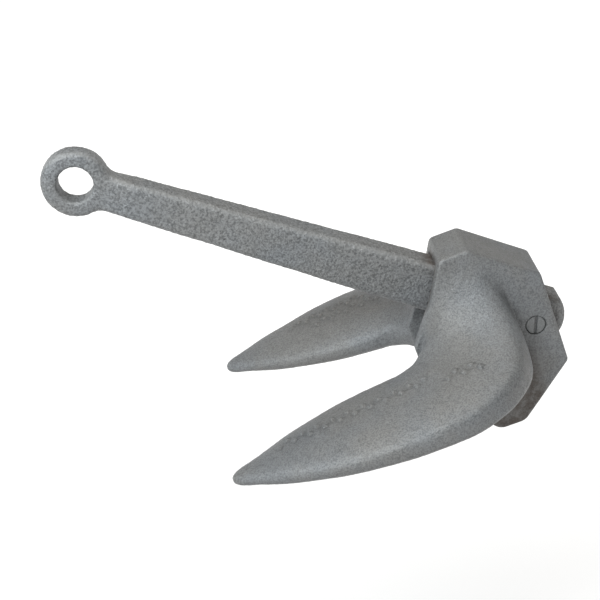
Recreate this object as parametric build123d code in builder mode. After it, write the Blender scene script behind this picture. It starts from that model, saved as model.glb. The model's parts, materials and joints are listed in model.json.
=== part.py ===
from build123d import *
from math import cos, pi, radians, sin
import os

# Stockless boat anchor: a swinging shank with an eye, a two-fluke head and the pin that joins them.
# Units are millimetres. +Z is up, +X runs from the fluke tips towards the crown, +Y runs across the flukes.
# The anchor stands on its fluke tips and lower palm. The origin is on the floor, under the middle of its box.

# ---- driving dimensions --------------------------------------------------------------------------
# How it stands
PIVOT_X = 138.01           # pivot axis, right of the origin
PIVOT_Z = 74.16            # pivot axis, above the floor
HEAD_PITCH = 20.57         # flukes slope down by this angle towards their tips
SHANK_SWING = 39.4         # shank against fluke line, either side, at the stops

# Pivot pin
PIN_R = 6.5
PIN_RECESS = 0.5           # each end sits this far below the cheek
PIN_CHAMFER = 0.7
PIN_SLOT_WIDTH = 1.8
PIN_SLOT_DEPTH = 1.5
SHANK_BORE_R = 6.58        # running fit on the pin

# Crown block, in the head's own frame: pivot at (0, 0), flukes towards -x
CROWN_WIDTH = 39.0
CROWN_BACK_X = 12.8
CROWN_BACK_HALF = 32.2
PALM_REAR_X = -25.0
PALM_FRONT_X = -43.2
PALM_HALF = 64.4
BROW_X = -57.0
BROW_HALF = 38.5
NOTCH_X = -75.4
NOTCH_HALF = 12.9
CROWN_CORNER_R = 3.7       # corners of the side outline
LOWER_PALM_R = 9.0         # worn corners of the palm that it stands on
CROWN_EDGE_R = 2.2         # edges between the outline and the cheeks

# Flukes
FLUKE_BEND_X = -93.7       # axis of the bend between cheek and fluke, level with the cheek
TIP_REACH = 110.3          # tips, ahead of the bend

# Shank
EYE_DISTANCE = 294.3       # pivot to eye centre
EYE_R = 20.4
EYE_BORE_R = 10.6
EYE_THICKNESS = 15.2
EYE_BORE_RIM_R = 2.4       # rounding of the bore's rims
EYE_NECK_R = 11.0          # fillet where eye and bar meet
NECK_START = 261.0         # the bar starts to thin into the eye
NECK_END = 277.5
NECK_BEND_R = 46.0
BAR_HEIGHT_AT_PIVOT = 35.0
BAR_HEIGHT_AT_EYE = 21.3
BAR_THICKNESS_AT_PIVOT = 22.6
BAR_THICKNESS_AT_EYE = 19.0
SHANK_EDGE_R = 4.6         # all round the bar, tail and eye
TAIL_R = 21.2              # rounded end of the bar, about the pivot
TAIL_CORNER_R = 3.7
SIDE_PLAY = 0.6            # slot against bar, each side
STOP_PLAY = 0.3            # slot against bar, at each stop
TAIL_PLAY = 1.0            # slot against the rounded tail

# ---- frames ----------------------------------------------------------------------------------------
PIVOT = Vector(PIVOT_X, 0, PIVOT_Z)


def pitched_frame(degrees):
    """A frame at the pivot whose x axis rises by this angle towards the crown."""
    x_dir = (cos(radians(degrees)), 0, sin(radians(degrees)))
    z_dir = (-sin(radians(degrees)), 0, cos(radians(degrees)))
    return Plane(origin=PIVOT, x_dir=x_dir, z_dir=z_dir)


HEAD = pitched_frame(HEAD_PITCH)
SHANK = pitched_frame(HEAD_PITCH - SHANK_SWING)


def within(frame, plane):
    """The plane, given in a frame's own coordinates, as it lies in the model."""
    return Plane(frame.location * plane.location)


# ---- flukes ------------------------------------------------------------------------------------------
CHEEK_Y = -CROWN_WIDTH / 2
BEND = Vector(FLUKE_BEND_X, CHEEK_Y, 0)


def fluke_plane(turn, ahead, reach):
    """A section plane turned about the bend's axis, then moved ahead; reach is from that axis outwards."""
    outward = Vector(cos(radians(turn)), -sin(radians(turn)), 0)
    forward = Vector(-sin(radians(turn)), -cos(radians(turn)), 0)
    return Plane(origin=BEND + outward * reach + forward * ahead, x_dir=outward, z_dir=forward)


def oval(half_width, half_thickness, lean, inner_power, outer_power, droop, count=32):
    """Points of a fluke section: a superellipse, rounder on its inner side, thinning towards its outer wall.

    The inner side leans outwards towards the top and bottom, to follow the crown's front edge.
    """
    points = []
    for i in range(count):
        c, s = cos(2 * pi * i / count), sin(2 * pi * i / count)
        power = outer_power if c > 0 else inner_power
        across = abs(c) ** (2 / power) * (1 if c > 0 else -1)
        up = abs(s) ** (2 / power) * (1 if s > 0 else -1)
        shift = lean * abs(up) * (1 - across) / 2
        thin = 1 - droop * max(across, 0) ** 2
        points.append((half_width * across + shift, half_thickness * up * thin))
    return points


# turn about the bend in degrees, ahead of it, inner and outer reach, half thickness, lean,
# power of the inner side and of the outer side, droop
FLUKE_SECTIONS = [
    (0, -6.5, 19.3, 82.7, 60.5, 22, 2.6, 2.6, 0),
    (0, 0, 19.3, 82.7, 56, 22, 2.6, 2.7, 0),
    (4, 0, 18.5, 83, 46, 19, 2.6, 2.9, 0.02),
    (10, 0, 17, 84.5, 35, 15, 2.6, 3.2, 0.06),
    (20, 0, 14.7, 87.3, 25, 8, 2.6, 3.8, 0.16),
    (35, 0, 12.9, 91.4, 18.2, 3, 2.5, 4.4, 0.28),
    (55, 0, 11.5, 93, 15.4, 0, 2.5, 4.4, 0.32),
    (75, 0, 10.6, 90, 14.2, 0, 2.5, 3.8, 0.30),
    (90, 0, 10.1, 87.6, 13.6, 0, 2.4, 3.2, 0.25),
    (90, 18.4, 11.5, 86.8, 12.7, 0, 2.3, 2.7, 0.14),
    (90, 41.4, 16.5, 83.4, 11.2, 0, 2.3, 2.4, 0.05),
    (90, 62.5, 23.4, 76.8, 9.6, 0, 2.2, 2.2, 0),
    (90, 82.7, 33, 69, 7.5, 0, 2.2, 2.2, 0),
    (90, 99.2, 41.4, 60.7, 5, 0, 2.1, 2.1, 0),
    (90, TIP_REACH - 2.8, 46.2, 55.8, 3.7, 0, 2, 2, 0),
    (90, TIP_REACH, 49.2, 52.8, 1.6, 0, 2, 2, 0),
]

with BuildPart() as near_fluke:
    for turn, ahead, inner, outer, *shape in FLUKE_SECTIONS:
        with BuildSketch(within(HEAD, fluke_plane(turn, ahead, (inner + outer) / 2))):
            with BuildLine():
                Spline(*oval((outer - inner) / 2, *shape), periodic=True)
            make_face()
    loft()

# ---- head: crown block, both flukes, shank slot, pin hole ---------------------------------------------
CROWN_TOP = [
    (CROWN_BACK_X, CROWN_BACK_HALF),
    (PALM_REAR_X, PALM_HALF),
    (PALM_FRONT_X, PALM_HALF),
    (BROW_X, BROW_HALF),
    (NOTCH_X, NOTCH_HALF),
]
CROWN_OUTLINE = CROWN_TOP + [(x, -z) for x, z in reversed(CROWN_TOP)]
HEAD_SIDE = within(HEAD, Plane.XZ)

BAR_TAPER = (BAR_HEIGHT_AT_PIVOT - BAR_HEIGHT_AT_EYE) / 2 / EYE_DISTANCE
SLOT_REACH = 130.0         # past the crown's front


def slot_edge(distance, side):
    """A point of the slot's stop face, this far from the pivot along the bar at its stop."""
    swing = radians(SHANK_SWING)
    offset = BAR_HEIGHT_AT_PIVOT / 2 + STOP_PLAY - BAR_TAPER * distance
    x = -distance * cos(swing) + offset * sin(swing)
    z = distance * sin(swing) + offset * cos(swing)
    return (x, z * side)


with BuildPart() as head:
    with BuildSketch(HEAD_SIDE) as outline:
        with BuildLine():
            Polyline(*CROWN_OUTLINE, close=True)
        make_face()
        lower_palm = outline.vertices().filter_by_position(Axis.Y, -PALM_HALF - 1, -PALM_HALF + 1)
        fillet(lower_palm, LOWER_PALM_R)
        fillet(outline.vertices().filter_by_position(Axis.Y, -BROW_HALF - 1, PALM_HALF + 1), CROWN_CORNER_R)
    extrude(amount=CROWN_WIDTH / 2, both=True)
    rims = head.faces().filter_by(Axis.Y).edges()
    fillet(rims, CROWN_EDGE_R)
    add(near_fluke.part)
    mirror(near_fluke.part, about=Plane.XZ)
    with BuildSketch(HEAD_SIDE):
        Circle(TAIL_R + TAIL_PLAY)
        with BuildLine():
            Polyline(
                slot_edge(0, 1),
                slot_edge(SLOT_REACH, 1),
                slot_edge(SLOT_REACH, -1),
                slot_edge(0, -1),
                close=True,
            )
        make_face()
    extrude(amount=BAR_THICKNESS_AT_PIVOT / 2 + SIDE_PLAY, both=True, mode=Mode.SUBTRACT)
    with BuildSketch(HEAD_SIDE):
        Circle(PIN_R)
    extrude(amount=CROWN_WIDTH / 2, both=True, mode=Mode.SUBTRACT)

# ---- shank: tapered bar, rounded tail, eye -------------------------------------------------------------
SHANK_SIDE = within(SHANK, Plane.XZ)
SHANK_TOP = within(SHANK, Plane.XY)
SHANK_END = EYE_DISTANCE + EYE_R


def taper_half(at_pivot, at_eye, distance):
    """Half of a size that tapers evenly from the pivot to the eye's centre."""
    return (at_pivot + (at_eye - at_pivot) * distance / EYE_DISTANCE) / 2


TAIL_HALF = taper_half(BAR_HEIGHT_AT_PIVOT, BAR_HEIGHT_AT_EYE, -TAIL_R)
NECK_HALF = taper_half(BAR_THICKNESS_AT_PIVOT, BAR_THICKNESS_AT_EYE, NECK_START)

with BuildPart() as shank:
    with BuildSketch(SHANK_SIDE) as side_outline:
        with BuildLine():
            Polyline(
                (TAIL_R, TAIL_HALF),
                (-EYE_DISTANCE, BAR_HEIGHT_AT_EYE / 2),
                (-EYE_DISTANCE, -BAR_HEIGHT_AT_EYE / 2),
                (TAIL_R, -TAIL_HALF),
                close=True,
            )
        make_face()
        with BuildSketch(mode=Mode.INTERSECT):
            Circle(TAIL_R)
            Rectangle(EYE_DISTANCE, 4 * TAIL_R, align=(Align.MAX, Align.CENTER))
        with Locations((-EYE_DISTANCE, 0)):
            Circle(EYE_R)
        corners = side_outline.vertices().sort_by(Axis.X)
        fillet(corners[:2], EYE_NECK_R)
        fillet(corners[2:], TAIL_CORNER_R)
    extrude(amount=BAR_THICKNESS_AT_PIVOT, both=True)
    with BuildSketch(SHANK_TOP) as top_outline:
        with BuildLine():
            Polyline(
                (TAIL_R, BAR_THICKNESS_AT_PIVOT / 2),
                (-NECK_START, NECK_HALF),
                (-NECK_END, EYE_THICKNESS / 2),
                (-SHANK_END, EYE_THICKNESS / 2),
                (-SHANK_END, -EYE_THICKNESS / 2),
                (-NECK_END, -EYE_THICKNESS / 2),
                (-NECK_START, -NECK_HALF),
                (TAIL_R, -BAR_THICKNESS_AT_PIVOT / 2),
                close=True,
            )
        make_face()
        bends = top_outline.vertices().filter_by_position(Axis.X, -NECK_END - 1, -NECK_START + 1)
        fillet(bends, NECK_BEND_R)
    extrude(amount=2 * TAIL_R, both=True, mode=Mode.INTERSECT)
    long_edges = shank.edges().filter_by(Axis.Y, reverse=True)
    rims = long_edges.filter_by(lambda edge: abs(SHANK.to_local_coords(edge @ 0.5).Z) > 1)
    fillet(rims, SHANK_EDGE_R)
    with BuildSketch(SHANK_SIDE):
        with Locations((-EYE_DISTANCE, 0)):
            Circle(EYE_BORE_R)
    extrude(amount=EYE_THICKNESS, both=True, mode=Mode.SUBTRACT)
    bore_rims = shank.edges().filter_by(GeomType.CIRCLE).filter_by(lambda edge: edge.radius == EYE_BORE_R)
    fillet(bore_rims, EYE_BORE_RIM_R)
    with BuildSketch(SHANK_SIDE):
        Circle(SHANK_BORE_R)
    extrude(amount=BAR_THICKNESS_AT_PIVOT, both=True, mode=Mode.SUBTRACT)

# ---- pivot pin: a plain pin held in the cheeks, with a driver slot in each end --------------------------
with BuildPart() as pivot_pin:
    with BuildSketch(HEAD_SIDE):
        Circle(PIN_R)
    extrude(amount=CROWN_WIDTH / 2 - PIN_RECESS, both=True)
    chamfer(pivot_pin.edges().filter_by(GeomType.CIRCLE), PIN_CHAMFER)
    for side in (-1, 1):
        end_centre = PIVOT + Vector(0, side * (CROWN_WIDTH / 2 - PIN_RECESS), 0)
        end = Plane(origin=end_centre, x_dir=(0, 0, 1), z_dir=(0, side, 0))
        with BuildSketch(end):
            Rectangle(3 * PIN_R, PIN_SLOT_WIDTH)
        extrude(amount=-PIN_SLOT_DEPTH, mode=Mode.SUBTRACT)

# ---- files -------------------------------------------------------------------------------------------
os.makedirs("parts", exist_ok=True)
head.part.label = "head"
export_step(head.part, "parts/head.step")
shank.part.label = "shank"
export_step(shank.part, "parts/shank.step")
pivot_pin.part.label = "pivot_pin"
export_step(pivot_pin.part, "parts/pivot_pin.step")
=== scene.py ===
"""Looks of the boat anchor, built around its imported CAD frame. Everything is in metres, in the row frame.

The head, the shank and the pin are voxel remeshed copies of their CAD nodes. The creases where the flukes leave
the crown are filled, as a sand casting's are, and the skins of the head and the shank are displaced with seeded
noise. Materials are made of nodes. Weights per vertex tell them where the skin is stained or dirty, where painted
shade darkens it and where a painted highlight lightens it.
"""
import json
import math

import bpy
import numpy as np
from mathutils import Matrix, Vector
from mathutils.bvhtree import BVHTree


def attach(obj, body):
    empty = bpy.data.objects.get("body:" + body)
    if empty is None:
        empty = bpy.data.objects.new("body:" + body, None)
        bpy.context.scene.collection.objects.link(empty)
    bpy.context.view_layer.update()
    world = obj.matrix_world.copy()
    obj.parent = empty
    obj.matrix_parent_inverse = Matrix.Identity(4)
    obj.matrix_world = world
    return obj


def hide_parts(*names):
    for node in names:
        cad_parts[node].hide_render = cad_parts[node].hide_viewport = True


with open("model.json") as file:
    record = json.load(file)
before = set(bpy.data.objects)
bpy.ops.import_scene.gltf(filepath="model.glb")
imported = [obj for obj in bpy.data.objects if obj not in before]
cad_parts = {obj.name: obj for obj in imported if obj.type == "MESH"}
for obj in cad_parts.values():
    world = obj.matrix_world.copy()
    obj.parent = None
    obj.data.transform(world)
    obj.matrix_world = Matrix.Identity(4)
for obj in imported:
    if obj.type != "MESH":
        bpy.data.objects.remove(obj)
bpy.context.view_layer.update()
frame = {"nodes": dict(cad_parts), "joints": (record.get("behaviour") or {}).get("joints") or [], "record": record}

MM = 0.001

# ---- places taken from the frame ----------------------------------------------------------------------
joint = next(j for j in frame["joints"] if j["name"] == "shank_pivot")
eye_mount = next(m for m in frame["record"]["mounts"] if m["name"] == "eye")
PIVOT = Vector(joint["pos_m"])
EYE = Vector(eye_mount["pos_m"])
SWING = math.radians(max(joint["range_deg"]) - min(joint["range_deg"])) / 2
SHANK_RISE = math.atan2(EYE.z - PIVOT.z, PIVOT.x - EYE.x)
HEAD_PITCH = SWING - SHANK_RISE


def frame_at_pivot(rise):
    """Axes at the pivot: x towards the crown's back, y along the pin, z square to both. rise tips x upwards."""
    c, s = math.cos(rise), math.sin(rise)
    return np.array(((c, 0, s), (0, 1, 0), (-s, 0, c)))


HEAD_AXES = frame_at_pivot(HEAD_PITCH)
SHANK_AXES = frame_at_pivot(-SHANK_RISE)


def to_local(points, axes):
    """Points of the row frame as seen from the pivot along the given axes."""
    return (points - np.array(PIVOT)) @ axes.T


# ---- mesh tools -----------------------------------------------------------------------------------------
SMOOTH_SHARE = 0.5   # how far a smoothing step moves a vertex towards the mean of its neighbours
UNSHRINK = -1.02     # every other step goes back by this much of it, so that the form doesn't shrink
MELT_SHARE = 0.6     # as SMOOTH_SHARE, for the filling of creases
SLIDE_SHARE = 0.5    # how much of a filling step's movement along the skin is kept, to even out the mesh
NORMALS_EVERY = 8    # filling steps between two readings of the normals


def vectors_of(mesh, field):
    flat = np.empty(len(mesh.vertices) * 3)
    mesh.vertices.foreach_get(field, flat)
    return flat.reshape(-1, 3)


def vertices_of(mesh):
    return vectors_of(mesh, "co")


def normals_of(mesh):
    return vectors_of(mesh, "normal")


def edges_of(mesh):
    flat = np.empty(len(mesh.edges) * 2, np.int64)
    mesh.edges.foreach_get("vertices", flat)
    return flat.reshape(-1, 2)


def set_vertices(mesh, points):
    mesh.vertices.foreach_set("co", points.astype(np.float32).ravel())
    mesh.update()


def casting_from(node, name, voxel):
    """A voxel remeshed copy of a CAD node, in quads, ready for smoothing."""
    mesh = frame["nodes"][node].data.copy()
    mesh.materials.clear()
    obj = bpy.data.objects.new(name, mesh)
    bpy.context.scene.collection.objects.link(obj)
    weld = obj.modifiers.new("weld", "WELD")
    weld.merge_threshold = 0.01 * MM
    remesh = obj.modifiers.new("remesh", "REMESH")
    remesh.mode = "VOXEL"
    remesh.voxel_size = voxel
    bpy.context.view_layer.update()
    done = bpy.data.meshes.new_from_object(obj.evaluated_get(bpy.context.evaluated_depsgraph_get()))
    obj.modifiers.clear()
    obj.data = done
    done.name = name
    return obj


def neighbour_count(edges, size):
    return np.bincount(edges.ravel(), minlength=size).astype(float)[:, None]


def neighbour_mean(points, edges, count):
    a, b = edges[:, 0], edges[:, 1]
    total = np.stack([np.bincount(a, points[b, k], len(points)) + np.bincount(b, points[a, k], len(points))
                      for k in range(3)], 1)
    return total / count


def smooth(obj, weights, steps):
    """Laplacian smoothing by a weight per vertex. Every other step is negative, which stops shrinking."""
    mesh = obj.data
    points, edges = vertices_of(mesh), edges_of(mesh)
    count = neighbour_count(edges, len(points))
    for step in range(steps):
        factor = weights if step % 2 == 0 else weights * UNSHRINK
        points = points + (neighbour_mean(points, edges, count) - points) * factor[:, None]
    set_vertices(mesh, points)


def ramp(values, low, high):
    """0 below low, 1 above high, smooth between; low may be above high."""
    t = np.clip((values - low) / (high - low), 0, 1)
    return t * t * (3 - 2 * t)


def melt_creases(obj, weights, steps, convex):
    """Fills concave creases as a casting's fillets do; outward corners only move by the share given in convex."""
    mesh = obj.data
    edges = edges_of(mesh)
    edges = edges[(weights[edges] > 0).any(1)]
    chosen, edges = np.unique(edges, return_inverse=True)
    edges = edges.reshape(-1, 2)
    every = vertices_of(mesh)
    points = every[chosen]
    count = neighbour_count(edges, len(points))
    strength = (weights[chosen] * MELT_SHARE)[:, None]
    for step in range(steps):
        if step % NORMALS_EVERY == 0:
            every[chosen] = points
            set_vertices(mesh, every)
            normals = normals_of(mesh)[chosen]
        pull = neighbour_mean(points, edges, count) - points
        lift = (pull * normals).sum(1)
        slide = pull - normals * lift[:, None]
        lift = np.where(lift > 0, lift, lift * convex)
        points = points + (normals * lift[:, None] + slide * SLIDE_SHARE) * strength
    every[chosen] = points
    set_vertices(mesh, every)


def perlin(points, cell, seed):
    """Gradient noise in -1..1 with lattice spacing cell, the same for the same seed."""
    rng = np.random.default_rng(seed)
    turn = rng.permutation(256)
    slopes = rng.normal(size=(256, 3))
    slopes /= np.linalg.norm(slopes, axis=1)[:, None]
    scaled = points / cell + rng.uniform(0, 50, 3)
    base = np.floor(scaled).astype(np.int64)
    part = scaled - base
    ease = part * part * part * (part * (part * 6 - 15) + 10)
    total = np.zeros(len(points))
    for corner in range(8):
        bit = np.array((corner & 1, corner >> 1 & 1, corner >> 2 & 1))
        at = (base + bit) & 255
        slope = slopes[turn[(turn[(turn[at[:, 0]] + at[:, 1]) & 255] + at[:, 2]) & 255]]
        weight = np.prod(np.where(bit, ease, 1 - ease), 1)
        total += weight * (slope * (part - bit)).sum(1)
    return total * 1.5


def raise_skin(obj, height):
    """Moves each vertex along its normal by its own height."""
    set_vertices(obj.data, vertices_of(obj.data) + normals_of(obj.data) * height[:, None])


def roughen(obj, layers, weights):
    """Raises and lowers the skin by layers of noise, each (cell, height, seed)."""
    points = vertices_of(obj.data)
    raise_skin(obj, sum(perlin(points, cell, seed) * size for cell, size, seed in layers) * weights)


def shade_smooth(obj):
    obj.data.polygons.foreach_set("use_smooth", np.ones(len(obj.data.polygons), bool))


def store(obj, **weights):
    """The weights per vertex that casting_material reads. One that isn't given is 0 all over."""
    for name in ("stain", "dirt", "wear"):
        values = weights.get(name, np.zeros(len(obj.data.vertices)))
        layer = obj.data.attributes.new(name, "FLOAT", "POINT")
        layer.data.foreach_set("value", values.astype(np.float32))


# ---- materials ----------------------------------------------------------------------------------------
class Nodes:
    """Short names for building a node tree."""

    def __init__(self, name):
        self.material = bpy.data.materials.new(name)
        self.material.use_nodes = True
        self.tree = self.material.node_tree
        self.tree.nodes.clear()

    def add(self, kind, inputs=(), **settings):
        node = self.tree.nodes.new(kind)
        for key, value in settings.items():
            setattr(node, key, value)
        for key, value in dict(inputs).items():
            socket = node.inputs[key]
            if isinstance(value, bpy.types.NodeSocket):
                self.tree.links.new(value, socket)
            else:
                socket.default_value = value
        return node

    def noise(self, place, scale, detail=2.0, roughness=0.5):
        return self.add("ShaderNodeTexNoise", {"Vector": place, "Scale": scale, "Detail": detail,
                                               "Roughness": roughness}).outputs["Fac"]

    def ramp(self, value, low, high, to_low=0.0, to_high=1.0):
        return self.add("ShaderNodeMapRange", {"Value": value, "From Min": low, "From Max": high, "To Min": to_low,
                                               "To Max": to_high}, interpolation_type="SMOOTHSTEP").outputs["Result"]

    def math(self, kind, a, b):
        return self.add("ShaderNodeMath", {0: a, 1: b}, operation=kind).outputs[0]

    def mix(self, amount, a, b, kind="MIX"):
        node = self.add("ShaderNodeMix", {0: amount, 6: a, 7: b}, data_type="RGBA", blend_type=kind)
        return node.outputs[2]

    def attribute(self, name):
        return self.add("ShaderNodeAttribute", attribute_name=name).outputs["Fac"]


PALE_MOTTLE = (0.30, 0.30, 0.29, 1)
PIT_BLACK = (0.035, 0.032, 0.03, 1)
# dark brown for stain, also used as painted shade in the head's recesses
STAIN_AND_SHADE_BROWN = (0.060, 0.045, 0.035, 1)
# light grey for the painted highlight on the shank's upper rims
RIM_HIGHLIGHT_GREY = (0.27, 0.272, 0.268, 1)
# dark colour for dirt at joints and for painted shade on downward faces
DIRT_AND_SHADE_BLACK = (0.03, 0.03, 0.028, 1)


def casting_material(name, cool, warm, grain_mm, grain_depth_mm, grain_contrast, pit_share):
    """Grey over a sand-cast skin: grain, pits and soft mottling, with stain, dirt, painted shade and a painted
    highlight by the stored weights.
    """
    n = Nodes(name)
    place = n.add("ShaderNodeTexCoord").outputs["Object"]
    patches = n.ramp(n.noise(place, 22, 3, 0.55), 0.35, 0.65)
    mottle = n.ramp(n.noise(place, 110, 4, 0.6), 0.3, 0.7)
    grain = n.noise(place, 1000 / grain_mm, 3, 0.62)
    coarse = n.noise(place, 1000 / grain_mm / 2.7, 2, 0.5)
    cells = n.add("ShaderNodeTexVoronoi", {"Vector": place, "Scale": 260.0, "Randomness": 1.0})
    chance = n.add("ShaderNodeSeparateColor", {"Color": cells.outputs["Color"]}).outputs["Red"]
    chosen = n.ramp(chance, 1 - pit_share, 1 - pit_share + 0.01)
    pits = n.math("MULTIPLY", chosen, n.ramp(cells.outputs["Distance"], 0.22, 0.12))

    relief = n.math("ADD", n.math("MULTIPLY", grain, 0.84), n.math("MULTIPLY", coarse, 0.16))
    relief = n.math("SUBTRACT", relief, n.math("MULTIPLY", pits, 0.7))
    bump = n.add("ShaderNodeBump", {"Height": relief, "Strength": 1.0, "Distance": grain_depth_mm * MM})

    colour = n.mix(patches, cool, warm)
    colour = n.mix(n.ramp(mottle, 0, 1, 0.0, 0.06), colour, PALE_MOTTLE)
    shade = n.ramp(relief, 0.36, 0.60, 1 - grain_contrast, 1 + grain_contrast * 0.45)
    grey = n.add("ShaderNodeCombineColor", {"Red": shade, "Green": shade, "Blue": shade}).outputs["Color"]
    colour = n.mix(1.0, colour, grey, "MULTIPLY")
    colour = n.mix(n.math("MULTIPLY", pits, 0.75), colour, PIT_BLACK)
    # brown stain where the shank meets the crown, with painted shade in the recess under each web
    stain = n.math("MULTIPLY", n.attribute("stain"), n.ramp(n.noise(place, 170, 4, 0.65), 0.34, 0.62, 0.45, 1.0))
    colour = n.mix(n.math("MULTIPLY", stain, 0.85), colour, STAIN_AND_SHADE_BROWN)
    # painted highlight, lighter where the rim weight is stored
    colour = n.mix(n.math("MULTIPLY", n.attribute("wear"), 0.45), colour, RIM_HIGHLIGHT_GREY)
    # dirt, and painted shade on what faces down
    colour = n.mix(n.math("MULTIPLY", n.attribute("dirt"), 0.6), colour, DIRT_AND_SHADE_BLACK)

    rough = n.ramp(n.math("ADD", mottle, stain), 0, 2, 0.44, 0.70)
    shader = n.add("ShaderNodeBsdfPrincipled", {"Base Color": colour, "Roughness": rough, "Metallic": 0.25,
                                                "Normal": bump.outputs["Normal"]})
    n.add("ShaderNodeOutputMaterial", {"Surface": shader.outputs[0]})
    return n.material


head_skin = casting_material("head_casting", cool=(0.145, 0.151, 0.155, 1), warm=(0.152, 0.152, 0.148, 1),
                             grain_mm=0.95, grain_depth_mm=0.42, grain_contrast=0.34, pit_share=0.01)
shank_skin = casting_material("shank_casting", cool=(0.155, 0.163, 0.169, 1), warm=(0.162, 0.163, 0.160, 1),
                              grain_mm=1.3, grain_depth_mm=0.80, grain_contrast=0.44, pit_share=0.02)
pin_skin = casting_material("pin_metal", cool=(0.140, 0.145, 0.146, 1), warm=(0.146, 0.147, 0.144, 1),
                            grain_mm=0.9, grain_depth_mm=0.12, grain_contrast=0.25, pit_share=0.0)

# ---- castings -------------------------------------------------------------------------------------------
head = casting_from("head", "head_casting", 0.65 * MM)
shank = casting_from("shank", "shank_casting", 0.55 * MM)
pin = casting_from("pivot_pin", "pivot_pin_ends", 0.3 * MM)

# Each pair is where a ramp is 0 and where it is 1, in the piece's own frame. y is taken to either side.
OUTSIDE_CHEEKS_Y = (18 * MM, 21 * MM)
BEHIND_WEB_X, BEHIND_WEB_Z = (-24 * MM, -14 * MM), (46 * MM, 38 * MM)
UPPER_SWEEP_Y, UPPER_SWEEP_Z = (60 * MM, 45 * MM), (22 * MM, 36 * MM)
CLEAR_OF_HEAD_X = (34 * MM, 60 * MM)

# (cell, height, seed)
HEAD_RELIEF = ((22 * MM, 0.35 * MM, 11), (7 * MM, 0.08 * MM, 12), (2.2 * MM, 0.12 * MM, 13))
SHANK_RELIEF = ((26 * MM, 0.45 * MM, 21), (5 * MM, 0.05 * MM, 22), (2.1 * MM, 0.24 * MM, 23))

# Creases are filled outside the cheeks only, and the corner behind each web stays as sharp as in the CAD.
local = to_local(vertices_of(head.data), HEAD_AXES)
outside = ramp(np.abs(local[:, 1]), *OUTSIDE_CHEEKS_Y)
behind_web = ramp(local[:, 0], *BEHIND_WEB_X) * ramp(np.abs(local[:, 2]), *BEHIND_WEB_Z)
upper_sweep = ramp(local[:, 2], *UPPER_SWEEP_Z) * ramp(np.abs(local[:, 1]), *UPPER_SWEEP_Y)
smooth(head, np.full(len(local), SMOOTH_SHARE), 6)
melt_creases(head, outside * (1 - behind_web), 60, convex=0.06)
melt_creases(head, outside * upper_sweep, 320, convex=0.02)
smooth(head, outside * SMOOTH_SHARE, 4)

# raised lozenges in zigzag rows along the top of each fluke: (x, y) in mm of a row's first and last, and how many
PIP_ROWS = (((-171, -65), (-76, -62), 20), ((-62, -67), (-42, -67), 5), ((-152, 76), (-100, 79), 11),
            ((-134, 66), (-90, 67), 9))
PIP_HALF = 3.0 * MM      # from a lozenge's centre to its point
PIP_HEIGHT = 1.1 * MM
PIP_ZIGZAG = 2.2         # mm to either side of a row's line
FAR_AWAY = 9.0           # in lozenge half widths, past all that is drawn around one


def pips(points):
    """How far each point of the head's own frame is up a lozenge, and how deep in the darker ring around one, 0 to
    1.
    """
    nearest = np.full(len(points), FAR_AWAY)
    for first, last, count in PIP_ROWS:
        for i in range(count):
            share = i / (count - 1)
            x = first[0] + (last[0] - first[0]) * share
            y = first[1] + (last[1] - first[1]) * share + PIP_ZIGZAG * (1 if i % 2 else -1)
            away = (np.abs(points[:, 0] - x * MM) + np.abs(points[:, 1] - y * MM)) / PIP_HALF
            nearest = np.minimum(nearest, away)
    on_top = points[:, 2] > 0
    return ramp(nearest, 1.0, 0.45) * on_top, ramp(nearest, 1.7, 1.0) * ramp(nearest, 0.5, 0.9) * on_top


local = to_local(vertices_of(head.data), HEAD_AXES)
lift, around_pips = pips(local)
raise_skin(head, lift * PIP_HEIGHT)
roughen(head, HEAD_RELIEF, 0.25 + 0.75 * outside)

# the shank is plainer inside the crown's slot, where it has little room
local = to_local(vertices_of(shank.data), SHANK_AXES)
clear_of_head = ramp(-local[:, 0], *CLEAR_OF_HEAD_X)
smooth(shank, np.full(len(local), SMOOTH_SHARE), 6)
roughen(shank, SHANK_RELIEF, 0.3 + 0.7 * clear_of_head)

smooth(pin, np.full(len(pin.data.vertices), SMOOTH_SHARE), 4)

for obj, material, body, node in ((head, head_skin, "head", "head"), (shank, shank_skin, "shank", "shank"),
                                  (pin, pin_skin, "head", "pivot_pin")):
    shade_smooth(obj)
    obj.data.materials.append(material)
    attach(obj, body)
    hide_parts(node)

# ---- stain, dirt, painted shade and painted highlight ---------------------------------------------------
# brown stain with painted shade in the recess behind and below each web, in the head's own frame
RECESS_FRONT_X, RECESS_BACK_X = (-66 * MM, -56 * MM), (-2 * MM, -14 * MM)
RECESS_OUTER_Y, RECESS_INNER_Y = (70 * MM, 56 * MM), (17 * MM, 19 * MM)
RECESS_TOP_Z = (-6 * MM, -20 * MM)

# heights of a normal, from -1 (down) to 1 (up)
FACING_UP = (0.2, 0.8)
FACING_DOWN = (0.15, -0.6)
RIM_SIDE, RIM_TOP = (0.25, 0.55), (0.96, 0.80)

HEAD_STAIN_REACH, SHANK_STAIN_REACH, PIN_DIRT_REACH = 6 * MM, 11 * MM, 1 * MM
# how dark the painted shade on downward faces is, and how dark the ring around each lozenge is
SHADE_BELOW, DARK_RING_AT_PIPS = 0.42, 0.4
SHANK_SHADE_SHARE = 0.5


def nearness(obj, other, reach):
    """1 where obj touches other, falling to 0 at reach."""
    tree = BVHTree.FromObject(other, bpy.context.evaluated_depsgraph_get())
    near = np.array([tree.find_nearest(Vector(p), reach)[3] or reach for p in vertices_of(obj.data)])
    return ramp(near, reach, 0)


def painted_shade_below(obj):
    """Painted shade: what faces the ground is made a little darker."""
    return SHADE_BELOW * ramp(normals_of(obj.data)[:, 2], *FACING_DOWN)


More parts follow.
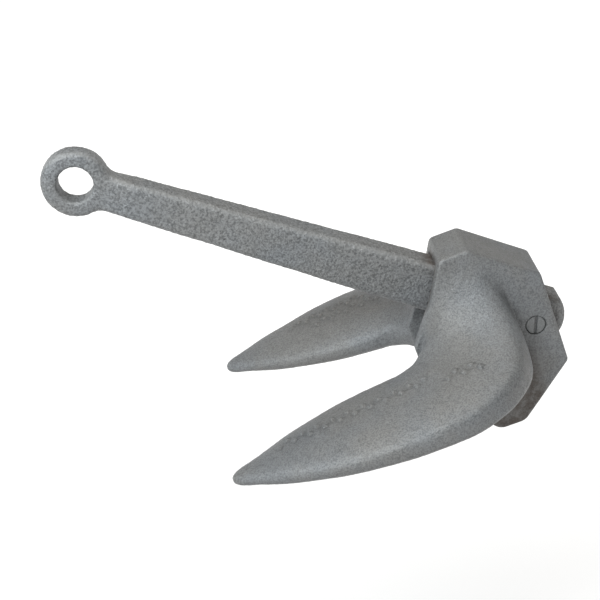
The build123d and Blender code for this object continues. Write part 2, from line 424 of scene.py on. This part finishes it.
local = to_local(vertices_of(head.data), HEAD_AXES)
across = np.abs(local[:, 1])
recess_stain_and_shade = ramp(local[:, 0], *RECESS_FRONT_X) * ramp(local[:, 0], *RECESS_BACK_X)
recess_stain_and_shade *= ramp(across, *RECESS_OUTER_Y) * ramp(across, *RECESS_INNER_Y) * ramp(local[:, 2], *RECESS_TOP_Z)
# dirt around the pin, a darker ring around each lozenge, and painted shade on downward faces
head_dirt = (nearness(head, pin, PIN_DIRT_REACH), DARK_RING_AT_PIPS * around_pips, painted_shade_below(head))
store(head, stain=np.maximum(nearness(head, shank, HEAD_STAIN_REACH), recess_stain_and_shade), dirt=np.maximum.reduce(head_dirt))

# painted highlight: the rims where the shank's sides turn into its top are made lighter
up = normals_of(shank.data)[:, 2]
shank_stain = nearness(shank, head, SHANK_STAIN_REACH) * (0.2 + 0.8 * ramp(up, *FACING_UP))
# painted shade: the shank is made darker where it faces down
store(shank, stain=shank_stain, dirt=SHANK_SHADE_SHARE * painted_shade_below(shank),
      wear=ramp(up, *RIM_SIDE) * ramp(up, *RIM_TOP) * clear_of_head)
store(pin)

# ---- floor, light, camera -------------------------------------------------------------------------------
HALF_FLOOR = 60.0
FLOOR_Z = -0.21                 # below the shank at its lower stop, which reaches under the fluke tips
GLOW_FROM, GLOW_TO = 0.15, 0.7  # the floor's own glow rises from the middle out, between these distances
GLOW_MIDDLE, GLOW_FAR = 0.62, 0.90

floor_corners = [(x * HALF_FLOOR, y * HALF_FLOOR, FLOOR_Z) for x, y in ((-1, -1), (1, -1), (1, 1), (-1, 1))]
floor_mesh = bpy.data.meshes.new("floor")
floor_mesh.from_pydata(floor_corners, [], [(0, 1, 2, 3)])
floor = bpy.data.objects.new("floor", floor_mesh)
bpy.context.scene.collection.objects.link(floor)
paper = Nodes("floor_paper")
place = paper.add("ShaderNodeTexCoord").outputs["Object"]
tone = paper.mix(paper.noise(place, 3, 3, 0.5), (0.34, 0.34, 0.34, 1), (0.36, 0.36, 0.355, 1))
away = paper.add("ShaderNodeVectorMath", {0: place}, operation="LENGTH").outputs["Value"]
glow = paper.ramp(away, GLOW_FROM, GLOW_TO, GLOW_MIDDLE, GLOW_FAR)
sheet = paper.add("ShaderNodeBsdfPrincipled", {"Base Color": tone, "Roughness": 0.9, "Specular IOR Level": 0.0,
                                               "Emission Color": (1, 1, 1, 1), "Emission Strength": glow})
paper.add("ShaderNodeOutputMaterial", {"Surface": sheet.outputs[0]})
floor_mesh.materials.append(paper.material)

# a dim sky that is white low down; the sockets' "From" is the height of a direction, their "To" the strength there
world = bpy.data.worlds.new("studio")
world.use_nodes = True
sky = world.node_tree
sky.nodes["Background"].inputs["Color"].default_value = (0.97, 0.985, 1.0, 1)
direction = sky.nodes.new("ShaderNodeSeparateXYZ")
sky.links.new(sky.nodes.new("ShaderNodeTexCoord").outputs["Generated"], direction.inputs["Vector"])
horizon = sky.nodes.new("ShaderNodeMapRange")
horizon.interpolation_type = "SMOOTHSTEP"
sky.links.new(direction.outputs["Z"], horizon.inputs["Value"])
for socket, value in (("From Min", 0.08), ("From Max", 0.32), ("To Min", 0.97), ("To Max", 0.20)):
    horizon.inputs[socket].default_value = value
sky.links.new(horizon.outputs["Result"], sky.nodes["Background"].inputs["Strength"])
bpy.context.scene.world = world


LIT_POINT = Vector((0, 0, 0.08))


def softbox(name, place, side, power, colour):
    """A square area light that faces the anchor."""
    light = bpy.data.lights.new(name, "AREA")
    light.shape = "RECTANGLE"
    light.size = light.size_y = side
    light.energy = power
    light.color = colour
    obj = bpy.data.objects.new(name, light)
    bpy.context.scene.collection.objects.link(obj)
    obj.location = place
    obj.rotation_euler = (LIT_POINT - obj.location).to_track_quat("-Z", "Y").to_euler()


softbox("top_softbox", place=(-0.1, 0.3, 2.0), side=2.4, power=34, colour=(1.0, 0.96, 0.90))
softbox("key_softbox", place=(-0.70, -0.75, 0.86), side=0.5, power=18, colour=(0.91, 0.965, 1.0))

CAMERA_FROM_PIVOT = Vector((-0.2022, -0.7410, 0.3689))
CAMERA_AZIMUTH = math.radians(4.36)
CAMERA_PITCH = math.radians(-25.59)
CAMERA_ROLL = math.radians(0.15)

camera_data = bpy.data.cameras.new("camera")
camera_data.lens = 79.3
camera_data.sensor_width = 36.0
camera_data.clip_start = 0.01
camera = bpy.data.objects.new("camera", camera_data)
bpy.context.scene.collection.objects.link(camera)
camera.location = PIVOT + CAMERA_FROM_PIVOT
turn = Matrix.Rotation(-CAMERA_AZIMUTH, 4, "Z") @ Matrix.Rotation(math.radians(90) + CAMERA_PITCH, 4, "X")
camera.rotation_euler = (turn @ Matrix.Rotation(CAMERA_ROLL, 4, "Z")).to_euler()
bpy.context.scene.camera = camera
bpy.context.scene.view_settings.view_transform = "Standard"
